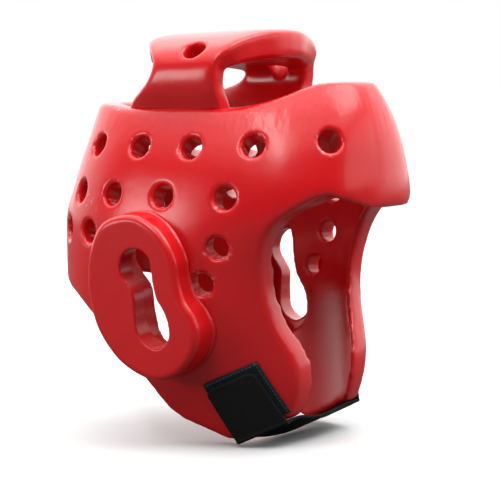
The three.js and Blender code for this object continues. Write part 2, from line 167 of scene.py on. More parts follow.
def addStage():
    deselectAll()
    low = cadBox[0][2] - stageSet["floorGap"]
    bpy.ops.mesh.primitive_plane_add(size=stageSet["floorSize"], location=(0, 0, low))
    floor = bpy.context.object
    floor.name = "floor"
    paper = bpy.data.materials.new("palePaper")
    paper.use_nodes = True
    surface = paper.node_tree.nodes["Principled BSDF"]
    sight = paper.node_tree.nodes.new("ShaderNodeLightPath")
    tone = mixColor(paper.node_tree.nodes, paper.node_tree.links, sight.outputs["Is Camera Ray"],
                    stageSet["floorBounce"], stageSet["floorTint"])
    paper.node_tree.links.new(tone, surface.inputs["Base Color"])
    surface.inputs["Roughness"].default_value = stageSet["floorRoughness"]
    floor.data.materials.append(paper)
    bpy.context.scene.world = paleRoom()
    bpy.context.scene.view_settings.view_transform = "Standard"
    middle = Vector(stageSet["lightsAim"])
    for name, place, upward, width, height, power in stageSet["lights"]:
        bpy.ops.object.light_add(type="AREA", location=place)
        light = bpy.context.object
        light.name = name
        light.data.shape = "RECTANGLE"
        light.data.size, light.data.size_y = width, height
        light.data.energy = power
        back = (Vector(place) - middle).normalized()
        right = Vector(upward).cross(back).normalized()
        light.rotation_euler = Matrix((right, back.cross(right), back)).transposed().to_euler()


addCamera()
addStage()
print("camera and stage ready")


# tools for the pieces

def readTable(rows, at, column):
    # smooth curve through one column, the first column is the key
    last = len(rows) - 1
    at = min(max(at, rows[0][0]), rows[last][0])
    i = 0
    while i < last - 1 and rows[i + 1][0] < at:
        i += 1

    def slope(a, b):
        return (rows[b][column] - rows[a][column]) / (rows[b][0] - rows[a][0])

    def tangent(k):
        if k == 0:
            return slope(0, 1)
        if k == last:
            return slope(last - 1, last)
        before = rows[k][0] - rows[k - 1][0]
        after = rows[k + 1][0] - rows[k][0]
        return (slope(k - 1, k) * after + slope(k, k + 1) * before) / (before + after)

    span = rows[i + 1][0] - rows[i][0]
    t = (at - rows[i][0]) / span
    start = rows[i][column] * (1 + 2 * t) * (1 - t) ** 2 + span * tangent(i) * t * (1 - t) ** 2
    return start + rows[i + 1][column] * t * t * (3 - 2 * t) + span * tangent(i + 1) * t * t * (t - 1)


def smoothStep(value, low, high):
    t = min(max((value - low) / (high - low), 0), 1)
    return t * t * (3 - 2 * t)


def power(value, exponent):
    return math.copysign(abs(value) ** exponent, value)


def loftSphere(name, segments, rings, place):
    # a sphere's rings are moved to the sections of a form, its poles close the two ends
    deselectAll()
    bpy.ops.mesh.primitive_uv_sphere_add(segments=segments, ring_count=rings, radius=1)
    piece = bpy.context.object
    piece.name = name
    ends = {1: [], -1: []}
    poles = {}
    for vert in piece.data.vertices:
        x, y, z = vert.co
        if abs(z) > 0.99999:
            poles[1 if z > 0 else -1] = vert
            continue
        ring = round(math.acos(z) * rings / math.pi)
        turn = math.atan2(y, x) / (2 * math.pi) % 1
        vert.co = place((ring - 1) / (rings - 2), turn)
        if ring == 1:
            ends[1].append(vert.co.copy())
        if ring == rings - 1:
            ends[-1].append(vert.co.copy())
    for end, vert in poles.items():
        vert.co = sum(ends[end], Vector()) / len(ends[end])
    faceOut(piece)
    return piece


def faceOut(piece):
    selectOnly(piece)
    bpy.ops.object.mode_set(mode="EDIT")
    bpy.ops.mesh.select_all(action="SELECT")
    bpy.ops.mesh.normals_make_consistent(inside=False)
    bpy.ops.object.mode_set(mode="OBJECT")


def extrudeOutline(name, points, reach):
    # points lie in one plane, reach is the vector of the extrusion
    deselectAll()
    bpy.ops.mesh.primitive_circle_add(vertices=len(points), fill_type="NGON")
    piece = bpy.context.object
    piece.name = name
    for vert, point in zip(piece.data.vertices, points):
        vert.co = point
    bpy.ops.object.mode_set(mode="EDIT")
    bpy.ops.mesh.select_all(action="SELECT")
    bpy.ops.mesh.extrude_region_move(TRANSFORM_OT_translate={"value": tuple(reach)})
    bpy.ops.object.mode_set(mode="OBJECT")
    faceOut(piece)
    return piece


def useModifier(piece, kind, **settings):
    selectOnly(piece)
    bpy.ops.object.modifier_add(type=kind)
    modifier = piece.modifiers[-1]
    for name, value in settings.items():
        setattr(modifier, name, value)
    bpy.ops.object.modifier_apply(modifier=modifier.name)


def cutWith(piece, cutter, operation="DIFFERENCE"):
    useModifier(piece, "BOOLEAN", operation=operation, solver="MANIFOLD", object=cutter)
    bpy.data.objects.remove(cutter)


def copyOf(piece, name, matrix=None):
    mesh = piece.data.copy()
    if matrix is not None:
        mesh.transform(matrix)
        if matrix.determinant() < 0:
            mesh.flip_normals()
    copy = bpy.data.objects.new(name, mesh)
    bpy.context.collection.objects.link(copy)
    return copy


def joinAll(parts):
    deselectAll()
    for part in parts:
        part.select_set(True)
    bpy.context.view_layer.objects.active = parts[0]
    bpy.ops.object.join()
    return parts[0]


def soften(piece, voxel, rounds):
    # an even skin over the cut form, its edges rounded as dipping leaves them
    useModifier(piece, "REMESH", mode="VOXEL", voxel_size=voxel, adaptivity=0, use_smooth_shade=True)
    useModifier(piece, "SMOOTH", factor=0.5, iterations=rounds)


def catmull(points, steps, closed=False):
    # points between the given ones on a smooth curve, steps for each span
    count = len(points)
    spans = count if closed else count - 1
    made = []
    for i in range(spans):
        if closed:
            a, b, c, d = (points[(i + k - 1) % count] for k in range(4))
        else:
            b, c = points[i], points[i + 1]
            a = points[i - 1] if i else b
            d = points[i + 2] if i + 2 < count else c
        for k in range(steps):
            t = k / steps
            made.append(tuple(
                0.5 * (2 * q + (r - p) * t + (2 * p - 5 * q + 4 * r - s) * t * t
                       + (3 * q - p - 3 * r + s) * t ** 3)
                for p, q, r, s in zip(a, b, c, d)
            ))
    if not closed:
        made.append(tuple(points[-1]))
    return made


# head shell

shellSet = {
    "browReach": 0.127, "napeReach": 0.125, "sideReach": 0.091,
    "widest": 0.010,
    "drop": 0.258,
    "sideWall": 0.016, "browWall": 0.029,
    "leanLimit": 1.6,  # a leaning wall is at most so many times its thickness across
    "browTop": 0.014, "bandTop": 0.032, "napeTop": 0.029,
    "browBottom": 0.099, "napeBottom": 0.158,
    # down, front, back, side, squareness ahead of the widest line
    "levels": [
        (0.0, 0.76, 0.75, 0.38, 2.5), (0.046, 0.82, 0.79, 0.5, 2.5), (0.108, 0.893, 0.83, 0.655, 2.5),
        (0.2, 0.96, 0.87, 0.81, 2.5), (0.277, 0.985, 0.915, 0.9, 2.5), (0.346, 1.0, 0.955, 0.95, 2.5),
        (0.415, 0.99, 1.0, 0.985, 2.4), (0.481, 0.93, 1.0, 1.0, 2.2), (0.558, 0.86, 1.0, 0.995, 2.05),
        (0.635, 0.825, 1.0, 0.975, 2.0), (0.719, 0.822, 0.97, 0.935, 2.0), (0.827, 0.828, 0.93, 0.86, 2.0),
        (0.923, 0.822, 0.87, 0.78, 2.0), (1.04, 0.8, 0.8, 0.68, 2.0),
    ],
    "squareBack": 2.4,
    "top": 0.015, "bottom": 1.03,
    # rise of the top edge to the brow, from here back of the axis, then shares of browReach and of bandTop
    "riseStart": -0.024,
    "riseAhead": (0.38, 0.5, 0.6, 0.67, 0.74, 0.84), "riseDown": (0.8, 0.58, 0.43), "riseSteps": 14,
    # the top edge behind the crown pad: where the band's top ends, a mark on the way, a share of napeReach
    "bandEnd": 0.056, "napeMark": (0.066, 0.97), "napeStep": 0.74,
    "napeTurn": 0.85,  # share of napeReach at which the bottom edge goes level
    "edgeSteps": 8, "past": 0.03,  # the outline of the cut runs so far past brow and nape
    # side view, shares of browReach back of the axis and of drop down
    "opening": [
        (-0.965, 0.384), (-0.91, 0.366), (-0.84, 0.35), (-0.775, 0.356), (-0.7, 0.381), (-0.64, 0.402),
        (-0.585, 0.43), (-0.545, 0.467), (-0.52, 0.51), (-0.508, 0.567), (-0.515, 0.615), (-0.54, 0.672),
        (-0.588, 0.731), (-0.618, 0.77), (-0.634, 0.82), (-0.624, 0.865), (-0.604, 0.902), (-0.578, 0.935),
    ],
    "flap": [
        (-0.3, 1.0), (-0.235, 1.002), (-0.165, 0.986), (-0.1, 0.974), (0.005, 0.954), (0.09, 0.927),
        (0.155, 0.888), (0.22, 0.848), (0.38, 0.768), (0.54, 0.692), (0.7, 0.637),
    ],
    "segments": 200, "rings": 120,
    "roughVoxel": 0.0022, "roughRounds": 12,
    "fineVoxel": 0.0014, "fineRounds": 3,
}

ventSet = {
    "bore": 0.00775, "lip": 0.0032,
    "depth": 0.034,
    "browDepth": 0.046, "browTo": 60,  # vents less than so many degrees from the front go through the brow
    "proud": 0.006,
    "cutShares": (0.2, 0.6, 0.2),  # of the cutter's rings outside the skin, over the lip and down the bore
    "sides": 40, "rings": 22,
    # down, degrees round from the front
    "rows": [
        (0.053, [34]), (0.056, [64.6]), (0.058, [84, 98.5, 125, 154, 180]),
        (0.091, [72, 89, 106.5, 129, 156, 180]), (0.118, [117.5, 137.5, 158, 180]),
        (0.125, [69.5]), (0.150, [72]),
    ],
}


def shellReach(down, column, full, wall):
    def reach(at):
        return full * readTable(shellSet["levels"], at / shellSet["drop"], column)

    step = 0.001
    lean = (reach(down + step / 2) - reach(down - step / 2)) / step
    return reach(down) - wall * min(shellSet["leanLimit"], math.hypot(1, lean))


def shellPlan(down, ahead, walls):
    side, front, back = walls
    return (
        shellReach(down, 3, shellSet["sideReach"], side),
        shellReach(down, 1, shellSet["browReach"], front) + shellSet["widest"] if ahead
        else shellReach(down, 2, shellSet["napeReach"], back) - shellSet["widest"],
        readTable(shellSet["levels"], down / shellSet["drop"], 4) if ahead else shellSet["squareBack"],
    )


def planPoint(plan, down, degrees):
    side, reach, square = plan
    sine, cosine = math.sin(math.radians(degrees)), math.cos(math.radians(degrees))
    out, ahead = side * power(sine, 2 / square), reach * power(cosine, 2 / square)
    return Vector((out, shellSet["widest"] - ahead, -down))


def shellPoint(down, degrees, walls=(0, 0, 0)):
    return planPoint(shellPlan(down, math.cos(math.radians(degrees)) > 0, walls), down, degrees)


def shellNormal(down, degrees):
    around = shellPoint(down, degrees + 1) - shellPoint(down, degrees - 1)
    step = 0.001
    upward = shellPoint(down - step, degrees) - shellPoint(down + step, degrees)
    return around.cross(upward).normalized()


def shellOut(y, z):
    # how far out the shell lies at a point of its side view
    side, reach, square = shellPlan(-z, y < shellSet["widest"], (0, 0, 0))
    share = min(1, abs(y - shellSet["widest"]) / reach)
    return side * (1 - share ** square) ** (1 / square)


def shellBody(name, wallsAt):
    plans = {}

    def place(share, turn):
        down = shellSet["drop"] * (shellSet["top"] + (shellSet["bottom"] - shellSet["top"]) * share)
        degrees = 360 * turn
        ahead = math.cos(math.radians(degrees)) > 0
        if (share, ahead) not in plans:
            plans[share, ahead] = shellPlan(down, ahead, wallsAt(down))
        return planPoint(plans[share, ahead], down, degrees)

    return loftSphere(name, shellSet["segments"], shellSet["rings"], place)


def shellWalls(down):
    low = 1 - smoothStep(down, shellSet["browBottom"], shellSet["browBottom"] + shellSet["browWall"])
    wall = shellSet["sideWall"]
    return wall, wall + (shellSet["browWall"] - wall) * low, wall


def sideView():
    brow, nape, past = shellSet["browReach"], shellSet["napeReach"], shellSet["past"]
    browTop, bandTop, napeTop = shellSet["browTop"], shellSet["bandTop"], shellSet["napeTop"]

    def bezier(points, steps):
        a, b, c, d = (Vector(p) for p in points)
        return [tuple(a * (1 - t) ** 3 + 3 * b * t * (1 - t) ** 2 + 3 * c * t * t * (1 - t) + d * t ** 3)
                for t in (k / steps for k in range(steps))]

    first, bend, joint, slope, level, last = (-share * brow for share in shellSet["riseAhead"])
    high, half, lower = (-share * bandTop for share in shellSet["riseDown"])
    start = (shellSet["riseStart"], -bandTop)
    steps = shellSet["riseSteps"]
    mark, rise = shellSet["napeMark"]
    points = [(nape + past, -napeTop), (shellSet["napeStep"] * nape, -napeTop)]
    points += [(mark, -rise * bandTop), (shellSet["bandEnd"], -bandTop)]
    points += bezier([start, (first, -bandTop), (bend, high), (joint, half)], steps)
    points += bezier([(joint, half), (slope, lower), (level, -browTop), (last, -browTop)], steps)
    points += [(last, -browTop), (-brow - past, -browTop), (-brow - past, -shellSet["browBottom"])]
    for rows in (shellSet["opening"], shellSet["flap"]):
        points += [(y * brow, -z * shellSet["drop"]) for y, z in catmull(rows, shellSet["edgeSteps"])]
    low = -shellSet["napeBottom"]
    return points + [(shellSet["napeTurn"] * nape, low), (nape + past, low)]


def ventCutter(name, depth):
    bore, lip, proud = ventSet["bore"], ventSet["lip"], ventSet["proud"]
    outside, curve, inside = ventSet["cutShares"]
    lipEnd = outside + curve

    def place(share, turn):
        # from outside the skin, over the rounded lip and down the bore
        if share < outside:
            height, radius = proud * (1 - share / outside) + 0.0001, bore + lip
        elif share < lipEnd:
            swing = (share - outside) / curve * math.pi / 2
            height = -lip * math.sin(swing)
            radius = bore + lip - lip * math.sqrt(max(0, 1 - (1 + height / lip) ** 2))
        else:
            height, radius = -lip - (depth - lip) * (share - lipEnd) / inside, bore
        angle = 2 * math.pi * turn
        return Vector((radius * math.cos(angle), radius * math.sin(angle), height))

    return loftSphere(name, ventSet["sides"], ventSet["rings"], place)


def ventPlaces():
    for down, turns in ventSet["rows"]:
        for degrees in turns:
            for side in (1, -1) if degrees < 180 else (1,):
                point, normal = shellPoint(down, degrees), shellNormal(down, degrees)
                if side < 0:
                    point.x, normal.x = -point.x, -normal.x
                yield point, normal, degrees


def makeShell():
    shell = shellBody("headShell", lambda down: (0, 0, 0))
    cutWith(shell, shellBody("hollow", shellWalls))
    far = 0.2  # past both sides of the shell
    outline = [(-far, y, z) for y, z in sideView()]
    cutWith(shell, extrudeOutline("sideCut", outline, (2 * far, 0, 0)), "INTERSECT")
    print("  shell form cut")
    soften(shell, shellSet["roughVoxel"], shellSet["roughRounds"])
    slim, deep = ventCutter("vent", ventSet["depth"]), ventCutter("browVent", ventSet["browDepth"])
    cutters = []
    for point, normal, degrees in ventPlaces():
        turn = normal.to_track_quat("Z", "Y").to_matrix().to_4x4()
        pattern = deep if degrees < ventSet["browTo"] else slim
        cutters.append(copyOf(pattern, "cutter", Matrix.Translation(point) @ turn))
    for pattern in (slim, deep):
        bpy.data.objects.remove(pattern)
    cutWith(shell, joinAll(cutters))
    for side in (-1, 1):
        cutWith(shell, earSlotCutter(side, earSet["windowEase"]))
    soften(shell, shellSet["fineVoxel"], shellSet["fineRounds"])
    return shell


# ear pads

earSet = {
    "height": 0.113, "depth": 0.089,
    "proud": 0.015,
    "middle": (0.011, -0.160),  # back and up
    "tilt": 4.3,  # degrees its face looks down
    "edge": 0.0048, "edgeSteps": 7,
    "windowEase": 0.008,
    "slotHeight": 0.068, "slotDepth": 0.0375, "slotForward": 0.04,
    "slotFrom": -0.06, "slotTo": 0.01,  # the cut's ends, in and out from the pad's face
    "outlineSteps": 9,
    "clearance": 0.0003,
    "flange": 0.0013, "flangeRise": 0.0017,
    "voxel": 0.0008, "rounds": 3,
    # shares of depth back and of height up
    "rim": [
        (0.026, 0.5), (0.217, 0.487), (0.366, 0.423), (0.463, 0.272), (0.5, 0.094), (0.482, -0.06),
        (0.418, -0.219), (0.265, -0.376), (0.082, -0.465), (-0.114, -0.5), (-0.309, -0.447), (-0.447, -0.332),
        (-0.5, -0.195), (-0.46, -0.08), (-0.375, 0.02), (-0.341, 0.125), (-0.326, 0.235), (-0.263, 0.34),
        (-0.145, 0.441),
    ],
    "slot": [
        (0.195, 0.5), (0.38, 0.465), (0.5, 0.351), (0.476, 0.217), (0.26, 0.04), (0.233, -0.15),
        (0.195, -0.344), (0.02, -0.462), (-0.246, -0.5), (-0.487, -0.373), (-0.455, -0.167), (-0.257, 0.025),
        (-0.19, 0.202), (-0.144, 0.394), (-0.005, 0.482),
    ],
}


def earPlace(side):
    # x of a drawing runs back, its y up, its z out to the side
    back, up = earSet["middle"]
    out = shellOut(shellSet["widest"], up) + earSet["proud"]
    basis = Matrix(((0, 0, 1, 0), (1, 0, 0, 0), (0, 1, 0, 0), (0, 0, 0, 1)))
    tilt = Matrix.Rotation(math.radians(earSet["tilt"]), 4, "Y")
    place = Matrix.Translation((out, back, up)) @ tilt @ basis
    return place if side > 0 else Matrix.Scale(-1, 4, (1, 0, 0)) @ place


def earOutline(rows, depth, height, shift=0):
    return [(y * depth + shift, z * height) for y, z in catmull(rows, earSet["outlineSteps"], closed=True)]


def earPrism(name, side, points, low, high, bevel=0):
    prism = extrudeOutline(name, [(x, y, low) for x, y in points], (0, 0, high - low))
    if bevel:
        markRim(prism, high)
        useModifier(prism, "BEVEL", width=bevel, segments=earSet["edgeSteps"], limit_method="WEIGHT")
    prism.data.transform(earPlace(side))
    if side < 0:
        prism.data.flip_normals()
    return prism


def markRim(prism, high):
    weights = prism.data.attributes.new("bevel_weight_edge", "FLOAT", "EDGE")
    verts = prism.data.vertices
    for edge in prism.data.edges:
        weights.data[edge.index].value = float(all(abs(verts[k].co.z - high) < 1e-6 for k in edge.vertices))


def earSlotCutter(side, ease):
    rows, forward = earSet["slot"], -earSet["slotForward"] * earSet["depth"]
    points = earOutline(rows, earSet["slotDepth"] + 2 * ease, earSet["slotHeight"] + 2 * ease, forward)
    return earPrism("earSlot", side, points, earSet["slotFrom"], earSet["slotTo"])


def makeEarPad(side):
    name = "earPadLeft" if side > 0 else "earPadRight"
    rim = earOutline(earSet["rim"], earSet["depth"], earSet["height"])
    low = -earSet["proud"] - shellSet["sideWall"]
    pad = earPrism(name, side, rim, low, 0, earSet["edge"])
    wide, rise = 2 * earSet["flange"], -earSet["flangeRise"]
    foot = earOutline(earSet["rim"], earSet["depth"] + wide, earSet["height"] + wide)
    flange = earPrism("flange", side, foot, low, 0)
    cutWith(flange, shellBody("reach", lambda down: (rise, rise, rise)), "INTERSECT")
    cutWith(pad, flange, "UNION")
    cutWith(pad, earSlotCutter(side, 0))
    grown = -earSet["clearance"]
    cutWith(pad, shellBody("seat", lambda down: (grown, grown, grown)))
    soften(pad, earSet["voxel"], earSet["rounds"])
    return pad


# crown pad

crownSet = {
    "thickness": 0.0215, "halfWidth": 0.069, "front": 0.046, "back": 0.055,
    "ventOut": 0.060, "ventAhead": 0.004,
    "fall": 0.035,  # slope down to the back
    "followFrom": 0.5, "followTo": 0.9,  # the stretch of the way in which a leg takes up the shell's plan
    # way from the middle to the root, then out, rise, front, back, thick as shares
    "sections": [
        (0, 0.0, 1.0, 1.0, 1.0, 1.0), (1, 0.27, 0.989, 0.97, 0.985, 1.0),
        (2, 0.515, 0.941, 0.87, 0.91, 0.96), (3, 0.727, 0.863, 0.79, 0.74, 0.88),
        (4, 0.886, 0.744, 0.7, 0.585, 0.8), (5, 0.977, 0.574, 0.58, 0.49, 0.75),
        (6, 1.0, 0.37, 0.55, 0.55, 0.73), (7, 0.975, 0.185, 0.54, 0.72, 0.72),
        (8, 0.9, 0.0, 0.55, 0.95, 0.72), (9, 0.865, -0.15, 0.56, 1.0, 0.72),
    ],
    "square": 7,
    "dip": 0.005,  # the leg's root goes this far down over the rounded band
    "segments": 96, "rings": 161,
    "voxel": 0.0014, "rounds": 7,
}


def crownSection(way):
    def read(column, at=way):
        return readTable(crownSet["sections"], at * (len(crownSet["sections"]) - 1), column)

    def rise(at):
        return read(2, at) * (crownSet["thickness"] + shellSet["bandTop"]) - shellSet["bandTop"]

    step = 0.01
    outStep = (read(1, way + step) - read(1, max(0, way - step))) * crownSet["halfWidth"]
    tangent = Vector((outStep, 0 if way < step else rise(way + step) - rise(way - step))).normalized()
    return {
        "out": read(1) * crownSet["halfWidth"], "up": rise(way),
        "front": read(3) * crownSet["front"], "back": read(4) * crownSet["back"],
        "thick": read(5) * crownSet["thickness"],
        "inward": Vector((tangent.y, -tangent.x)),
        "follow": smoothStep(way, crownSet["followFrom"], crownSet["followTo"]),
    }


def crownPoint(section, side, y, deep):
    top = -shellSet["bandTop"]
    bend = (shellOut(y, top) - shellOut(shellSet["widest"], top)) * section["follow"]
    x = section["out"] + bend + section["inward"].x * deep
    fall = crownSet["fall"] * y * (1 - section["follow"])
    return Vector((side * x, y, section["up"] + section["inward"].y * deep - fall))


def makeCrown(band):
    sections = {}

    def place(share, turn):
        side = 1 if share > 0.5 else -1
        way = abs(2 * share - 1)
        if share not in sections:
            sections[share] = crownSection(way)
        section = sections[share]
        angle = 2 * math.pi * turn
        square = 2 / crownSet["square"]
        across, deep = power(math.cos(angle), square), power(math.sin(angle), square)
        y = across * (section["back"] if across > 0 else section["front"])
        return crownPoint(section, side, y, section["thick"] * (0.5 - deep / 2))

    crown = loftSphere("crownPad", crownSet["segments"], crownSet["rings"], place)
    way, step = 0, 0.005  # out to the vent
    while crownSection(way)["out"] < crownSet["ventOut"]:
        way += step
    section = crownSection(way)
    cutter = ventCutter("crownVent", ventSet["depth"])
    for side in (-1, 1):
        point = crownPoint(section, side, -crownSet["ventAhead"], 0)
        normal = Vector((-side * section["inward"].x, 0, -section["inward"].y))
        turn = normal.to_track_quat("Z", "Y").to_matrix().to_4x4()
        cutWith(crown, copyOf(cutter, "cutter", Matrix.Translation(point) @ turn))
    bpy.data.objects.remove(cutter)
    soften(crown, crownSet["voxel"], crownSet["rounds"])
    low = -shellSet["bandTop"] - crownSet["dip"]
    deselectAll()
    big = 0.4
    bpy.ops.mesh.primitive_cube_add(size=big, location=(0, 0, low - big / 2))
    below = bpy.context.object
    bpy.ops.object.transform_apply(location=True, rotation=False, scale=False)
    cutWith(crown, below)
    cutWith(crown, copyOf(band, "bandCopy"))
    return crown


# chin strap and hook patch

strapSet = {
    "width": 0.037, "thickness": 0.0020,
    "tab": 0.038, "sag": 0.003, "corner": 0.0045,
    "sagMarks": (0.85, 0.65, 0.45, 0.22), "sagFrom": 0.65,  # shares of the way out to the flap's edge
    "patchThickness": 0.0016, "patchMargin": 0.0045, "patchGap": 0.004,
    "clearance": 0.0003, "bedding": 0.0005,
    "columns": 28, "tabSteps": 26, "sagSteps": 5, "patchRows": 20,
}


def edgeFrame():
    front = Vector(shellSet["opening"][-1])
    back = Vector(shellSet["flap"][0])
    size = Vector((shellSet["browReach"], -shellSet["drop"]))
    middle = (front + back) * size / 2
    across = ((front - back) * size).normalized()
    return middle, across, Vector((-across.y, across.x))


edgeMiddle, edgeAcross, edgeRun = edgeFrame()


def flapPoint(across, run):
    return edgeMiddle + edgeAcross * across + edgeRun * run


def flapMark(across, run):
    def out(at):
        return shellOut(*flapPoint(across, at))

    step = 0.001
    lead = Vector((1, (out(run - step) - out(run + step)) / (2 * step))).normalized()
    return out(run), run, lead


def cornerShare(fromEnd):
    # how much of the width is left near a tab's end with rounded corners
    radius, half = strapSet["corner"], strapSet["width"] / 2
    if fromEnd >= radius:
        return 1
    return 1 - (radius - math.sqrt(radius ** 2 - (radius - fromEnd) ** 2)) / half


def strapLine(across):
    # marks of one line of the strap, lifted off the foam: out from the middle plane, run off the flap's edge
    tab, bed = strapSet["tab"], strapSet["bedding"]
    half = strapSet["thickness"] / 2
    path = []
    for side in (-1, 1):
        lift = bed + half + (strapSet["patchThickness"] + strapSet["clearance"] if side < 0 else 0)
        leg = []
        for i in range(strapSet["tabSteps"] + 1):
            share = i / strapSet["tabSteps"]
            inner = across * cornerShare(tab * share)
            out, run, lead = flapMark(inner, -tab * (1 - share))
            leg.append((side * (out + lead.x * lift), run + lead.y * lift, inner))
        edge, _, lead = flapMark(across, 0)
        corner = (lead + Vector((0, 1))).normalized()
        rest = [(side * (edge + corner.x * lift), corner.y * lift, across)]
        for share in strapSet["sagMarks"]:
            sag = strapSet["sag"] * (1 - min(1, share / strapSet["sagFrom"]) ** 2)
            rest.append((side * edge * share, sag + strapSet["clearance"] + half, across))
        path.append(leg + catmull([leg[-1]] + rest, strapSet["sagSteps"])[1:])
    middle = [(0, strapSet["sag"] + strapSet["clearance"] + half, across)]
    return path[0] + middle + path[1][::-1]


def bandFrom(name, lines):
    # a grid whose columns follow the lines, with its own flat size as UV
    rows, columns = len(lines[0]), len(lines)
    deselectAll()
    bpy.ops.mesh.primitive_grid_add(x_subdivisions=columns - 1, y_subdivisions=rows - 1, size=2)
    piece = bpy.context.object
    piece.name = name
    runs = [0.0]
    for a, b in zip(lines[columns // 2], lines[columns // 2][1:]):
        runs.append(runs[-1] + math.dist(a[:2], b[:2]))
    flat = {}
    for vert in piece.data.vertices:
        c = round((vert.co.x + 1) / 2 * (columns - 1))
        r = round((vert.co.y + 1) / 2 * (rows - 1))
        out, run, across = lines[c][r]
        place = flapPoint(across, run)
        vert.co = (out, place.x, place.y)
        flat[vert.index] = (across, runs[r])
    uv = piece.data.uv_layers.active or piece.data.uv_layers.new(name="UVMap")
    for loop in piece.data.loops:
        uv.data[loop.index].uv = flat[loop.vertex_index]
    return piece, runs[-1]


def makeStrap():
    count = strapSet["columns"]
    acrosses = [strapSet["width"] * (k / count - 0.5) for k in range(count + 1)]
    strap, length = bandFrom("chinStrap", [strapLine(across) for across in acrosses])
    useModifier(strap, "SOLIDIFY", thickness=strapSet["thickness"], offset=0)
    faceOut(strap)
    return strap, length


def makePatch():
    rows, count = strapSet["patchRows"], strapSet["columns"]
    width, margin = strapSet["width"], strapSet["patchMargin"]
    acrosses = [-width / 2 + (width + margin) * k / count for k in range(count + 1)]
    lift = strapSet["bedding"] + strapSet["patchThickness"] / 2
    top, foot = -strapSet["tab"] - margin, -strapSet["patchGap"]
    lines = []
    for across in acrosses:
        line = []
        for i in range(rows + 1):
            out, run, lead = flapMark(across, top + (foot - top) * i / rows)
            line.append((-(out + lead.x * lift), run + lead.y * lift, across))
        lines.append(line)
    patch, length = bandFrom("hookPatch", lines)
    useModifier(patch, "SOLIDIFY", thickness=strapSet["patchThickness"], offset=0)
    faceOut(patch)
    return patch, length


# finishes

def newMaterial(name):
    material = bpy.data.materials.new(name)
    material.use_nodes = True
    return material, material.node_tree.nodes, material.node_tree.links


def noiseNode(nodes, links, vector, scale, detail):
    texture = nodes.new("ShaderNodeTexNoise")
    texture.inputs["Scale"].default_value = scale
    texture.inputs["Detail"].default_value = detail
    links.new(vector, texture.inputs["Vector"])
    return texture.outputs["Fac"]


def bumpNode(nodes, links, height, distance, strength, under=None):
    bump = nodes.new("ShaderNodeBump")
    bump.inputs["Distance"].default_value = distance
    bump.inputs["Strength"].default_value = strength
    links.new(height, bump.inputs["Height"])
    if under is not None:
        links.new(under, bump.inputs["Normal"])
    return bump.outputs["Normal"]


def newGroup(name, takes, gives):
    group = bpy.data.node_groups.new(name, "ShaderNodeTree")
    for way, sockets in (("INPUT", takes), ("OUTPUT", gives)):
        for label, kind in sockets:
            group.interface.new_socket(label, in_out=way, socket_type="NodeSocket" + kind)
    nodes = group.nodes
    source, goal = nodes.new("NodeGroupInput"), nodes.new("NodeGroupOutput")
    return group, nodes, group.links, source.outputs, goal.inputs


skinSet = {
    "tint": (0.68, 0.008, 0.011, 1), "shade": (0.60, 0.005, 0.008, 1), "cloud": 14,
    "dents": 30, "dentDepth": 0.0012, "dentStrength": 0.4,
    "peel": 650, "peelDepth": 0.00008, "peelStrength": 0.3,
    "creaseStretch": (150, 150, 14), "creaseDepth": 0.0009, "creaseStrength": 0.5,
    "creaseFrom": -0.066, "creaseTo": -0.030,
    # rubbed spots: specks and the bouts they come in, per metre, and where in its noise each fades in
    "speck": 330, "speckFrom": 0.5, "speckTo": 0.7,
    "bout": 75, "boutFrom": 0.52, "boutTo": 0.62,
    "scuffTint": (0.78, 0.42, 0.42, 1), "scuffDulls": 0.3,
    "gloss": (0.21, 0.29),  # least and most roughness of the coat where it isn't rubbed
}


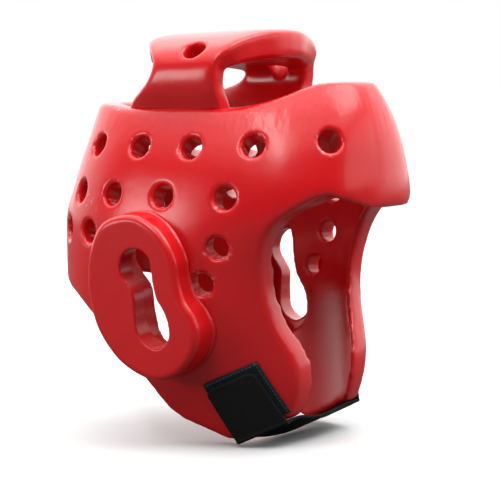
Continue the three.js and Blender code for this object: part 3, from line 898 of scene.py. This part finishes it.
def dippedSkin():
    # coat of the foam: clouded red, soft dents, fine peel, rubbed spots, pull creases near the band's top
    group, nodes, links, takes, gives = newGroup(
        "dippedSkin",
        [("Tint", "Color"), ("Shade", "Color"), ("Crease", "Float"), ("Scuff", "Float")],
        [("Color", "Color"), ("Roughness", "Float"), ("Normal", "Vector")])
    place = nodes.new("ShaderNodeTexCoord").outputs["Object"]
    cloud = noiseNode(nodes, links, place, skinSet["cloud"], 4)
    specks = rampNode(nodes, links, noiseNode(nodes, links, place, skinSet["speck"], 5),
                      skinSet["speckFrom"], skinSet["speckTo"], 1)
    bouts = rampNode(nodes, links, noiseNode(nodes, links, place, skinSet["bout"], 1),
                     skinSet["boutFrom"], skinSet["boutTo"], 1)
    patches = mathNode(nodes, links, "MULTIPLY", specks, bouts)
    rubbed = mathNode(nodes, links, "MULTIPLY", patches, takes["Scuff"])
    red = mixColor(nodes, links, cloud, takes["Tint"], takes["Shade"])
    links.new(mixColor(nodes, links, rubbed, red, skinSet["scuffTint"]), gives["Color"])
    low, high = skinSet["gloss"]
    sheen = mathNode(nodes, links, "MULTIPLY_ADD", cloud, high - low)
    sheen.node.inputs[2].default_value = low
    dull = mathNode(nodes, links, "MULTIPLY", rubbed, skinSet["scuffDulls"])
    links.new(mathNode(nodes, links, "ADD", sheen, dull), gives["Roughness"])
    dents = bumpNode(nodes, links, noiseNode(nodes, links, place, skinSet["dents"], 3),
                     skinSet["dentDepth"], skinSet["dentStrength"])
    stretch = nodes.new("ShaderNodeMapping")
    stretch.inputs["Scale"].default_value = skinSet["creaseStretch"]
    links.new(place, stretch.inputs["Vector"])
    folds = noiseNode(nodes, links, stretch.outputs["Vector"], 1, 2)
    split = nodes.new("ShaderNodeSeparateXYZ")
    links.new(place, split.inputs["Vector"])
    band = rampNode(nodes, links, split.outputs["Z"], skinSet["creaseFrom"], skinSet["creaseTo"], 1)
    folds = mathNode(nodes, links, "MULTIPLY", folds, band)
    height = mathNode(nodes, links, "MULTIPLY", folds, takes["Crease"])
    pulls = bumpNode(nodes, links, height, skinSet["creaseDepth"], skinSet["creaseStrength"], dents)
    peel = bumpNode(nodes, links, noiseNode(nodes, links, place, skinSet["peel"], 2),
                    skinSet["peelDepth"], skinSet["peelStrength"], pulls)
    links.new(peel, gives["Normal"])
    return group


def vinylMaterial(name, group, crease, wear=None):
    material, nodes, links = newMaterial(name)
    surface = nodes["Principled BSDF"]
    skin = nodes.new("ShaderNodeGroup")
    skin.node_tree = group
    skin.inputs["Tint"].default_value = skinSet["tint"]
    skin.inputs["Shade"].default_value = skinSet["shade"]
    skin.inputs["Crease"].default_value = crease
    if wear:
        reader = nodes.new("ShaderNodeAttribute")
        reader.attribute_name = wear
        links.new(reader.outputs["Fac"], skin.inputs["Scuff"])
    links.new(skin.outputs["Color"], surface.inputs["Base Color"])
    links.new(skin.outputs["Roughness"], surface.inputs["Roughness"])
    links.new(skin.outputs["Normal"], surface.inputs["Normal"])
    return material


clothSet = {
    # tint of the ground and of the tips of the nap, and roughness, of the strap's loops and of the hook tape
    "loops": ((0.005, 0.005, 0.0052, 1), (0.011, 0.011, 0.0115, 1), 0.95),
    "hooks": ((0.003, 0.008, 0.011, 1), (0.007, 0.018, 0.024, 1), 0.6),
    "specular": 0.25,
    "pile": 1400, "pileDepth": 0.0005, "pileStrength": 0.7, "tipsFrom": 0.45, "tipsTo": 0.75,
    "tuft": 260, "tuftDepth": 0.0006, "tuftStrength": 0.5,
    "stitchPitch": 0.0028, "stitchShare": 0.62,  # of the pitch that shows thread
    "stitchWidth": 0.00035, "stitchIn": 0.0016,
    "stitchTint": (0.05, 0.07, 0.085, 1),
}


def pileNap():
    # loops or hooks of a touch fastener, seen as a fine broken nap
    group, nodes, links, takes, gives = newGroup(
        "pileNap", [("Tint", "Color"), ("Light", "Color")], [("Color", "Color"), ("Normal", "Vector")])
    place = nodes.new("ShaderNodeTexCoord").outputs["Object"]
    fine = noiseNode(nodes, links, place, clothSet["pile"], 3)
    tufts = noiseNode(nodes, links, place, clothSet["tuft"], 4)
    tips = rampNode(nodes, links, fine, clothSet["tipsFrom"], clothSet["tipsTo"], 1)
    links.new(mixColor(nodes, links, tips, takes["Tint"], takes["Light"]), gives["Color"])
    lumps = bumpNode(nodes, links, tufts, clothSet["tuftDepth"], clothSet["tuftStrength"])
    nap = bumpNode(nodes, links, fine, clothSet["pileDepth"], clothSet["pileStrength"], lumps)
    links.new(nap, gives["Normal"])
    return group


def stitchLine():
    # dashes along one line of a flat sheet: Along runs with the seam, Off is the distance from it
    group, nodes, links, takes, gives = newGroup(
        "stitchLine", [("Along", "Float"), ("Off", "Float")], [("Mask", "Float")])
    stitches = mathNode(nodes, links, "DIVIDE", takes["Along"], clothSet["stitchPitch"])
    beat = mathNode(nodes, links, "FRACT", stitches, 0)
    dash = mathNode(nodes, links, "LESS_THAN", beat, clothSet["stitchShare"])
    away = mathNode(nodes, links, "ABSOLUTE", takes["Off"], 0)
    near = mathNode(nodes, links, "LESS_THAN", away, clothSet["stitchWidth"])
    links.new(mathNode(nodes, links, "MULTIPLY", dash, near), gives["Mask"])
    return group


def clothMaterial(name, nap, finish, seams=None):
    # seams: the group that draws the dashes, and the lines of the front and the top seam on the flat sheet
    tint, light, roughness = finish
    material, nodes, links = newMaterial(name)
    surface = nodes["Principled BSDF"]
    cloth = nodes.new("ShaderNodeGroup")
    cloth.node_tree = nap
    cloth.inputs["Tint"].default_value = tint
    cloth.inputs["Light"].default_value = light
    color = cloth.outputs["Color"]
    if seams:
        group, front, top = seams
        split = nodes.new("ShaderNodeSeparateXYZ")
        links.new(nodes.new("ShaderNodeTexCoord").outputs["UV"], split.inputs["Vector"])
        for along, off, line in (("Y", "X", front), ("X", "Y", top)):
            dashes = nodes.new("ShaderNodeGroup")
            dashes.node_tree = group
            links.new(split.outputs[along], dashes.inputs["Along"])
            links.new(mathNode(nodes, links, "SUBTRACT", split.outputs[off], line), dashes.inputs["Off"])
            color = mixColor(nodes, links, dashes.outputs["Mask"], color, clothSet["stitchTint"])
    links.new(color, surface.inputs["Base Color"])
    links.new(cloth.outputs["Normal"], surface.inputs["Normal"])
    surface.inputs["Roughness"].default_value = roughness
    surface.inputs["Specular IOR Level"].default_value = clothSet["specular"]
    return material


skinGroup, napGroup, seamGroup = dippedSkin(), pileNap(), stitchLine()
shellVinyl = vinylMaterial("shellVinyl", skinGroup, 1, "wear")
padVinyl = vinylMaterial("padVinyl", skinGroup, 0)
loopPile = clothMaterial("loopPile", napGroup, clothSet["loops"])
seamFront = strapSet["width"] / 2 + strapSet["patchMargin"] - clothSet["stitchIn"]
seams = (seamGroup, seamFront, clothSet["stitchIn"])
hookTape = clothMaterial("hookTape", napGroup, clothSet["hooks"], seams)


wearSet = {
    "reach": 0.0016,  # how far from a vent's lip the coat is rubbed
    "rimShare": 0.75, "spotShare": 0.7,
    "lipOut": 0.35, "lipDown": 0.25,  # the middle of the rubbed ring, as shares of the lip
    # other rubbed places: down, degrees from the front, side, size
    "spots": [(0.036, 118, -1, 0.005), (0.098, 118, -1, 0.006), (0.036, 150, 1, 0.007)],
}


def markWear(piece):
    # how rubbed the coat is at each vertex, most at the lips of the vents
    count = len(piece.data.vertices)
    places = np.empty(count * 3)
    piece.data.vertices.foreach_get("co", places)
    places = places.reshape(-1, 3)
    wear = np.zeros(count)
    for point, normal, _ in ventPlaces():
        away = places - np.array(point)
        height = away @ np.array(normal)
        radius = np.linalg.norm(away - height[:, None] * np.array(normal), axis=1)
        lip = ventSet["lip"]
        off = np.hypot(radius - ventSet["bore"] - wearSet["lipOut"] * lip, height + wearSet["lipDown"] * lip)
        wear = np.maximum(wear, wearSet["rimShare"] * np.exp(-(off / wearSet["reach"]) ** 2))
    for down, degrees, side, size in wearSet["spots"]:
        point = shellPoint(down, degrees)
        point.x *= side
        off = np.linalg.norm(places - np.array(point), axis=1)
        wear = np.maximum(wear, wearSet["spotShare"] * np.exp(-(off / size) ** 2))
    mark = piece.data.attributes.new("wear", "FLOAT", "POINT")
    mark.data.foreach_set("value", wear)


def finishPiece(piece, material, slot, *nodes):
    piece.data.materials.clear()
    piece.data.materials.append(material)
    for face in piece.data.polygons:
        face.use_smooth = True
    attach(piece, "root")
    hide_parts(*nodes)


shell = makeShell()
markWear(shell)
finishPiece(shell, shellVinyl, "foam", "head_shell")
print("head shell made", len(shell.data.polygons))

crown = makeCrown(shell)
finishPiece(crown, padVinyl, "foam", "crown_pad")
print("crown pad made", len(crown.data.polygons))

for side, node in ((-1, "ear_pad_right"), (1, "ear_pad_left")):
    pad = makeEarPad(side)
    finishPiece(pad, padVinyl, "foam", node)
print("ear pads made", len(pad.data.polygons))

strap, strapLength = makeStrap()
finishPiece(strap, loopPile, "strap", "chin_strap")
patch, patchLength = makePatch()
finishPiece(patch, hookTape, "hook", "hook_patch")
print("strap and patch made, lengths", round(strapLength, 4), round(patchLength, 4))
